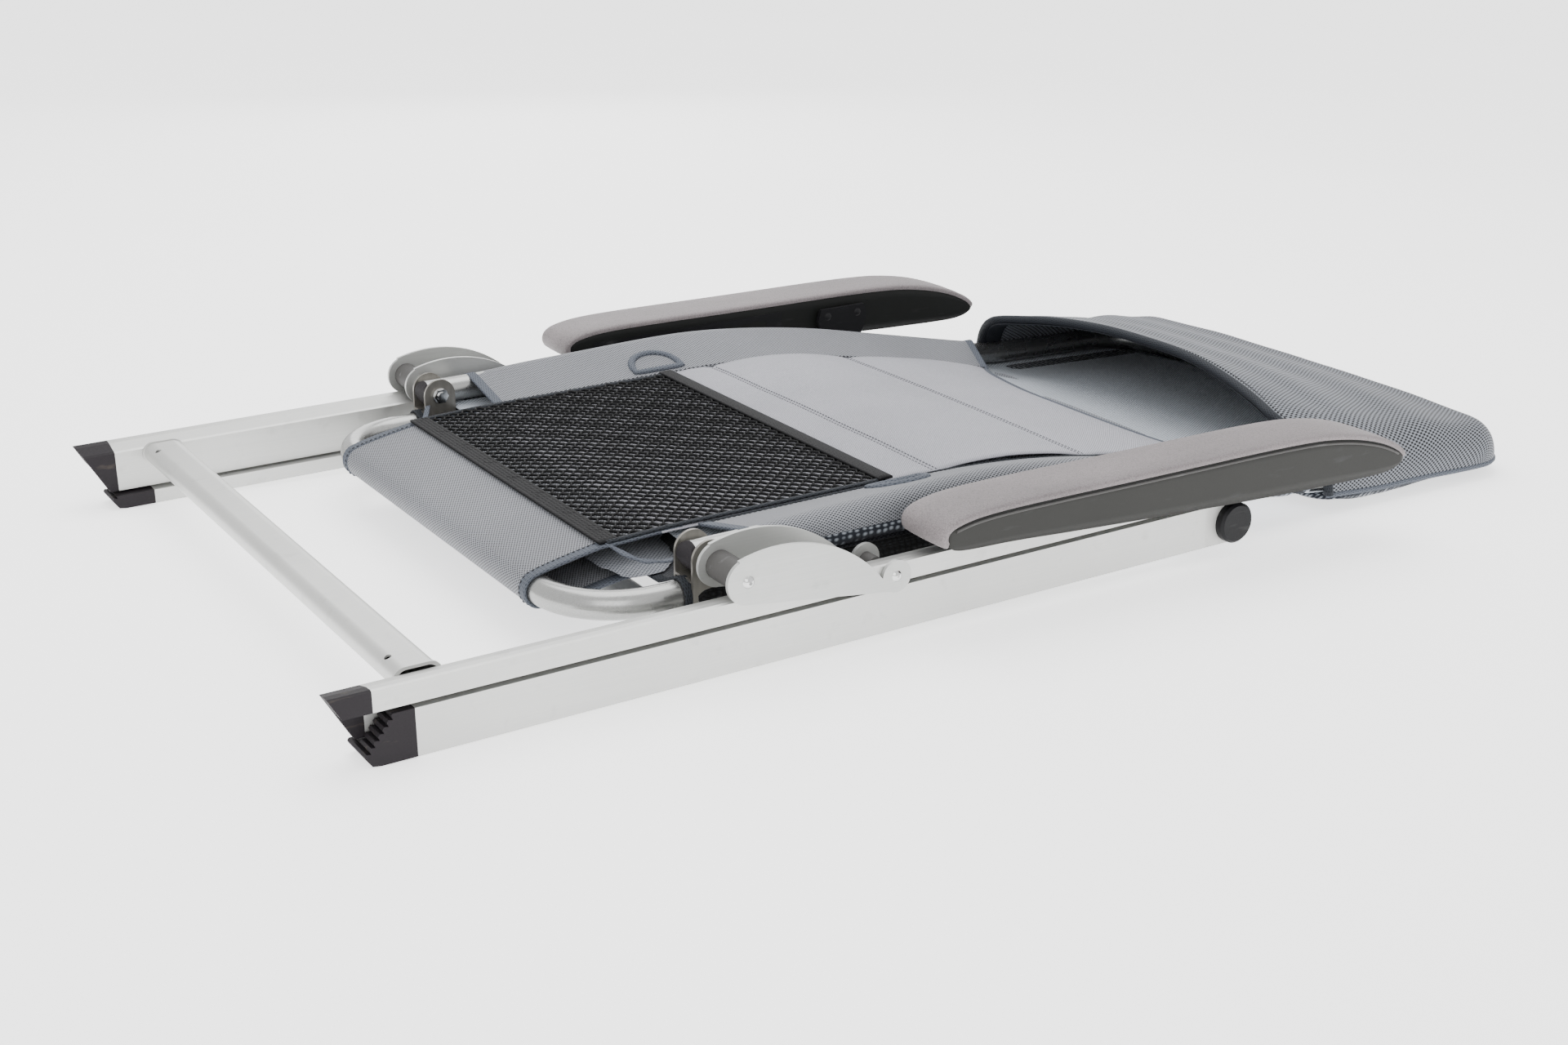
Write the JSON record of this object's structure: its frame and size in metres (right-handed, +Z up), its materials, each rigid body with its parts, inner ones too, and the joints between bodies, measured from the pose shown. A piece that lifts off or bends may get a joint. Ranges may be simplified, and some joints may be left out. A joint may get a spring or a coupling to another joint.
{
  "type": "folding chair",
  "caption": "Folded reclining garden chair with link-folding aluminium legs, swinging armrests, sling seat, mesh pocket and sliding headrest.",
  "frame": {"origin": "middle of the footprint of the folded chair, on the surface it lies on", "axes": "+X from the feet to the headrest along the folded chair, +Y to the sitter's left, +Z up, which is the chair's rear side"},
  "size_m": [1.1716, 0.65, 0.1083],
  "materials": {
    "aluminium": "satin",
    "tube_aluminium": "satin",
    "plate_aluminium": "satin",
    "bracket_steel": "satin",
    "plated_steel": "polished",
    "grey_moulding": "matte",
    "spacer_plastic": "matte",
    "black_plastic": "matte",
    "foot_plastic": "matte",
    "armrest_shell": "satin",
    "armrest_grain": "grained",
    "sling_fabric": "woven",
    "pad_fabric": "woven",
    "pocket_mesh": "open net",
    "headrest_fabric": "coarse woven"
  },
  "bodies": {
    "front_legs": {"front_leg_left": "aluminium", "front_leg_right": "aluminium", "front_foot_caps": "foot_plastic", "front_leg_ends": "grey_moulding", "front_crossbar": "aluminium", "hinge_pins": "plated_steel", "hinge_caps": "black_plastic", "seat_pivot_pins": "plated_steel", "seat_pivot_spacers": "spacer_plastic"},
    "rear_legs": {"rear_leg_left": "aluminium", "rear_leg_right": "aluminium", "rear_crossbar": "aluminium", "rear_foot_caps": "foot_plastic", "rear_leg_eyes": "bracket_steel"},
    "links": {"link_plates_outer": "plate_aluminium", "link_plates_inner": "plate_aluminium", "link_spacers": "spacer_plastic", "link_bushes": "spacer_plastic", "link_bolts": "plated_steel", "link_rivets": "plated_steel"},
    "seat": {"seat_frame": "tube_aluminium", "seat_brackets": "bracket_steel", "bracket_rivets": "plated_steel", "seat_pivot_plates": "bracket_steel", "seat_cover": "sling_fabric", "seat_pad": "pad_fabric", "rear_sleeve": "sling_fabric"},
    "back_hinge": {"back_bolts": "plated_steel", "back_nuts": "plated_steel"},
    "backrest": {"backrest_frame": "tube_aluminium", "tube_end_plugs": "foot_plastic", "recline_pins": "plated_steel", "backrest_cover": "sling_fabric", "backrest_pad": "pad_fabric", "mesh_pocket": "pocket_mesh"},
    "headrest": {"headrest_hood": "headrest_fabric", "headrest_pillow": "headrest_fabric"},
    "armrests": {"armrest_left": "armrest_shell", "armrest_right": "armrest_shell", "armrest_pad_left": "armrest_grain", "armrest_pad_right": "armrest_grain", "armrest_brackets": "bracket_steel", "armrest_screws": "plated_steel", "recline_racks": "black_plastic"}
  },
  "joints": [
    {"name": "fold", "type": "hinge", "parent": "front_legs", "child": "rear_legs", "pos_m": [0.18091, 0, 0.03794], "axis": [0, 1, 0], "range_deg": [0, 47.21]},
    {"name": "seat_fold", "type": "hinge", "parent": "front_legs", "child": "seat", "pos_m": [-0.02769, 0, 0.02027], "axis": [0, 1, 0], "range_deg": [0, 104]},
    {"name": "link_swing", "type": "hinge", "parent": "rear_legs", "child": "links", "pos_m": [-0.15468, 0, 0.05483], "axis": [0, 1, 0], "range_deg": [0, 143.37]},
    {"name": "armrest_swing", "type": "hinge", "parent": "front_legs", "child": "armrests", "pos_m": [0.18091, 0, 0.03794], "axis": [0, 1, 0], "range_deg": [0, 111.43]},
    {"name": "back_fold", "type": "hinge", "parent": "seat", "child": "back_hinge", "pos_m": [-0.28125, 0, 0.0744], "axis": [0, 1, 0], "range_deg": [-94.57, 0]},
    {"name": "recline", "type": "hinge", "parent": "back_hinge", "child": "backrest", "pos_m": [-0.28125, 0, 0.0744], "axis": [0, 1, 0], "range_deg": [-30, 0]},
    {"name": "headrest_slide", "type": "slide", "parent": "backrest", "child": "headrest", "axis": [0.9999, 0, -0.0164], "range_m": [0, 0.05]}
  ],
  "couplings": [
    {"joint": "seat_fold", "follows": "fold", "ratio": 2.2028},
    {"joint": "link_swing", "follows": "fold", "ratio": 3.0368},
    {"joint": "armrest_swing", "follows": "fold", "ratio": 2.3603},
    {"joint": "back_fold", "follows": "fold", "ratio": -2.003}
  ]
}
